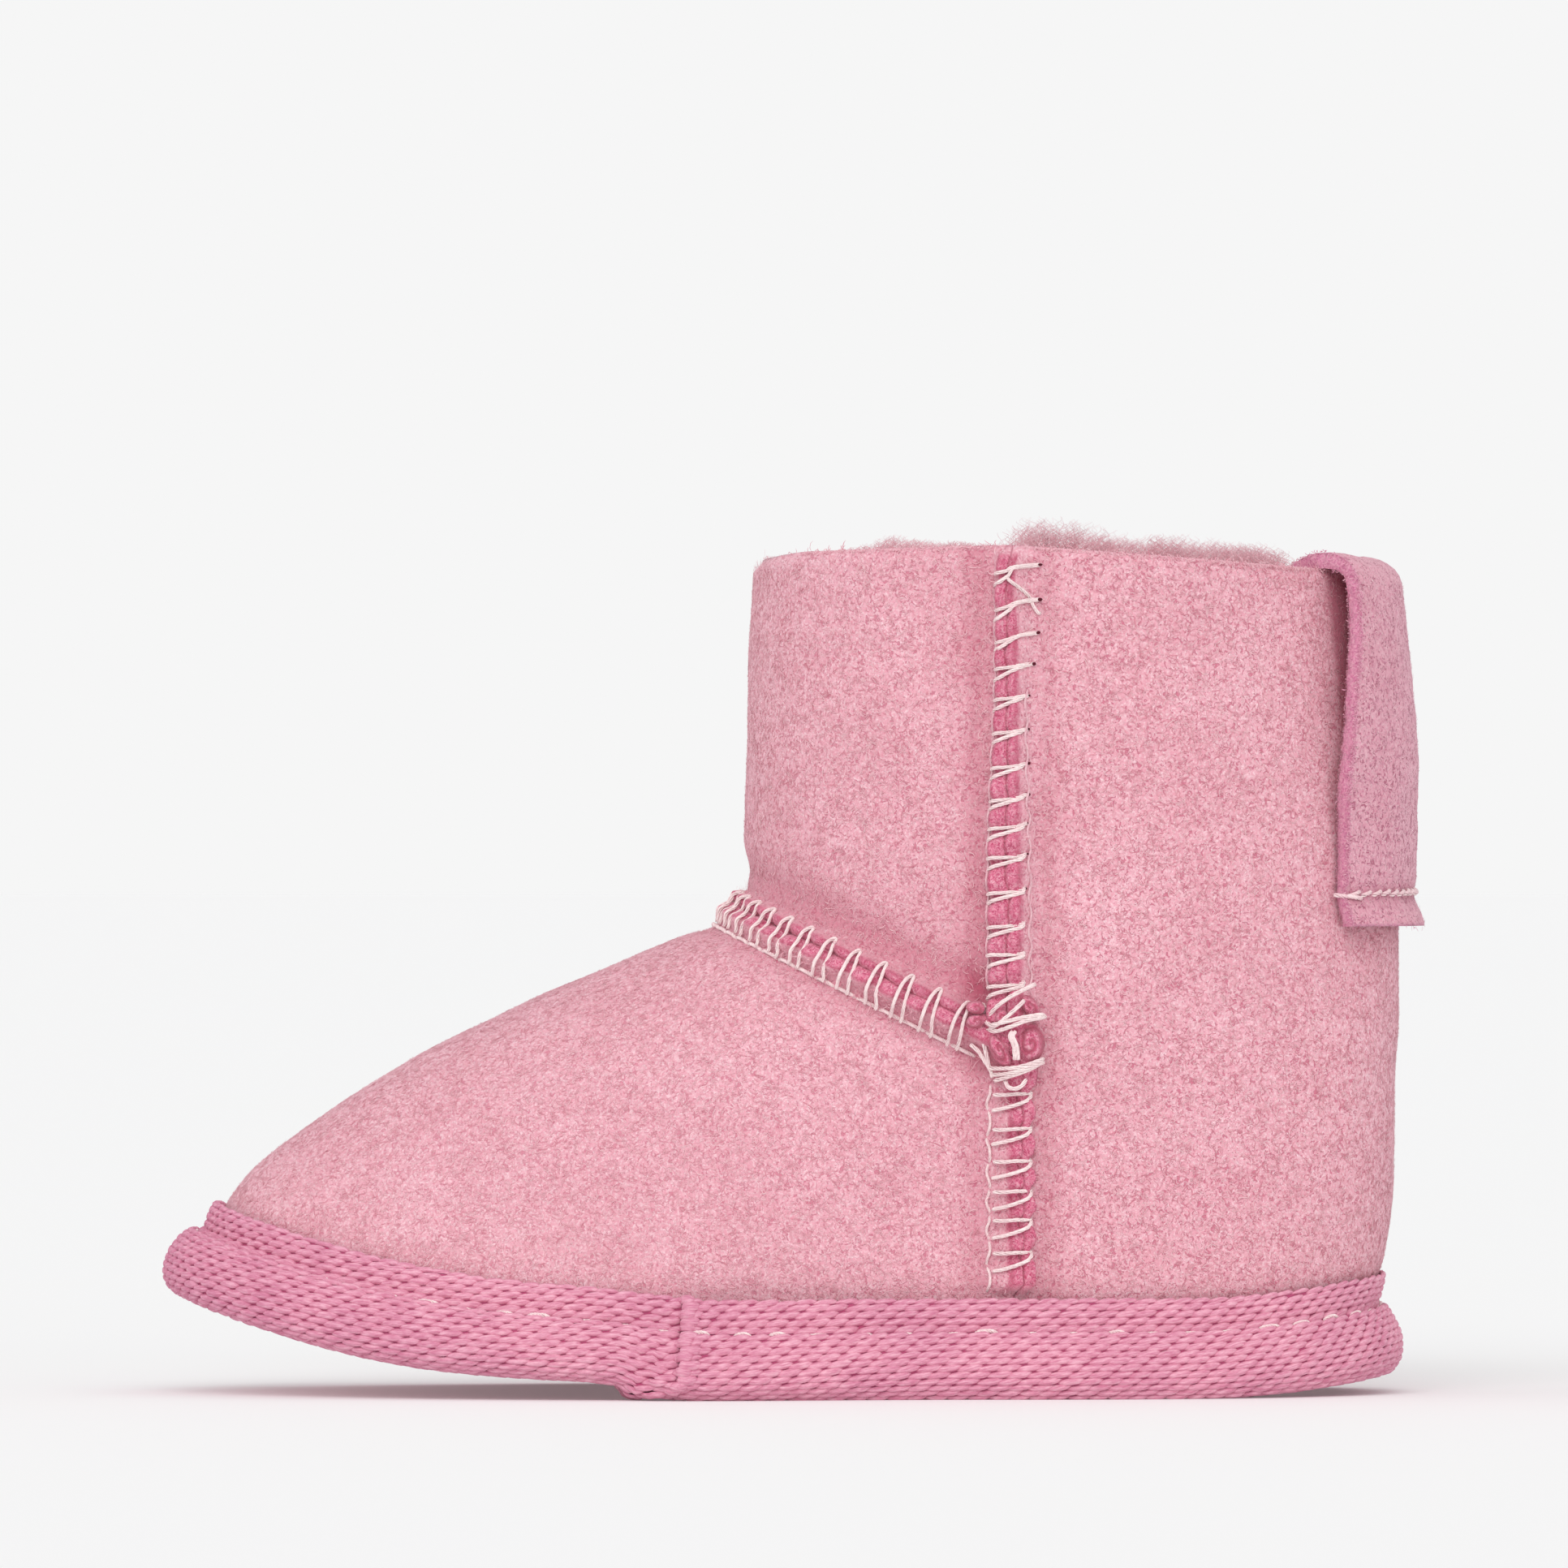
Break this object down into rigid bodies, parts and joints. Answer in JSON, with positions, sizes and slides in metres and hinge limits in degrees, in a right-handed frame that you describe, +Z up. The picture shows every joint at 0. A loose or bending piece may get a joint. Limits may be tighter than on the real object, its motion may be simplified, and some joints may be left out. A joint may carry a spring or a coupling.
{
  "type": "baby bootie",
  "caption": "Soft sheepskin pull-on baby bootie with wool lining, overlocked side and instep seams, a woven-tape-bound sole and a leather heel pull tab.",
  "frame": {"origin": "on the ground under the sole, on the bootie's middle line, half way between the toe and the heel of the binding tape", "axes": "+X towards the heel, +Y towards the wearer's right, +Z up"},
  "size_m": [0.1325, 0.0611, 0.089],
  "materials": {
    "suede": "napped suede",
    "wool": "curly wool pile",
    "woven_tape": "plaited woven tape",
    "tab_leather": "napped suede",
    "thread": "twisted thread"
  },
  "bodies": {
    "bootie": {"outsole": "suede", "insole": "suede", "insole_fleece": "wool", "vamp": "suede", "vamp_fleece": "wool", "shaft_front": "suede", "shaft_front_fleece": "wool", "heel_panel": "suede", "heel_panel_fleece": "wool", "binding_tape": "woven_tape", "binding_stitches": "thread", "instep_overlock": "thread", "instep_topstitch": "thread", "side_overlock_left": "thread", "side_overlock_right": "thread", "side_topstitch_left": "thread", "side_topstitch_right": "thread", "seam_knot_left": "thread", "seam_knot_right": "thread"},
    "tab": {"pull_tab": "tab_leather", "pull_tab_stitches": "thread", "pull_tab_inner_stitches": "thread"}
  },
  "joints": [
    {"name": "tab_lean", "type": "hinge", "parent": "bootie", "child": "tab", "pos_m": [0.0656, 0, 0.0526], "axis": [0, 1, 0], "range_deg": [0, 4]}
  ]
}
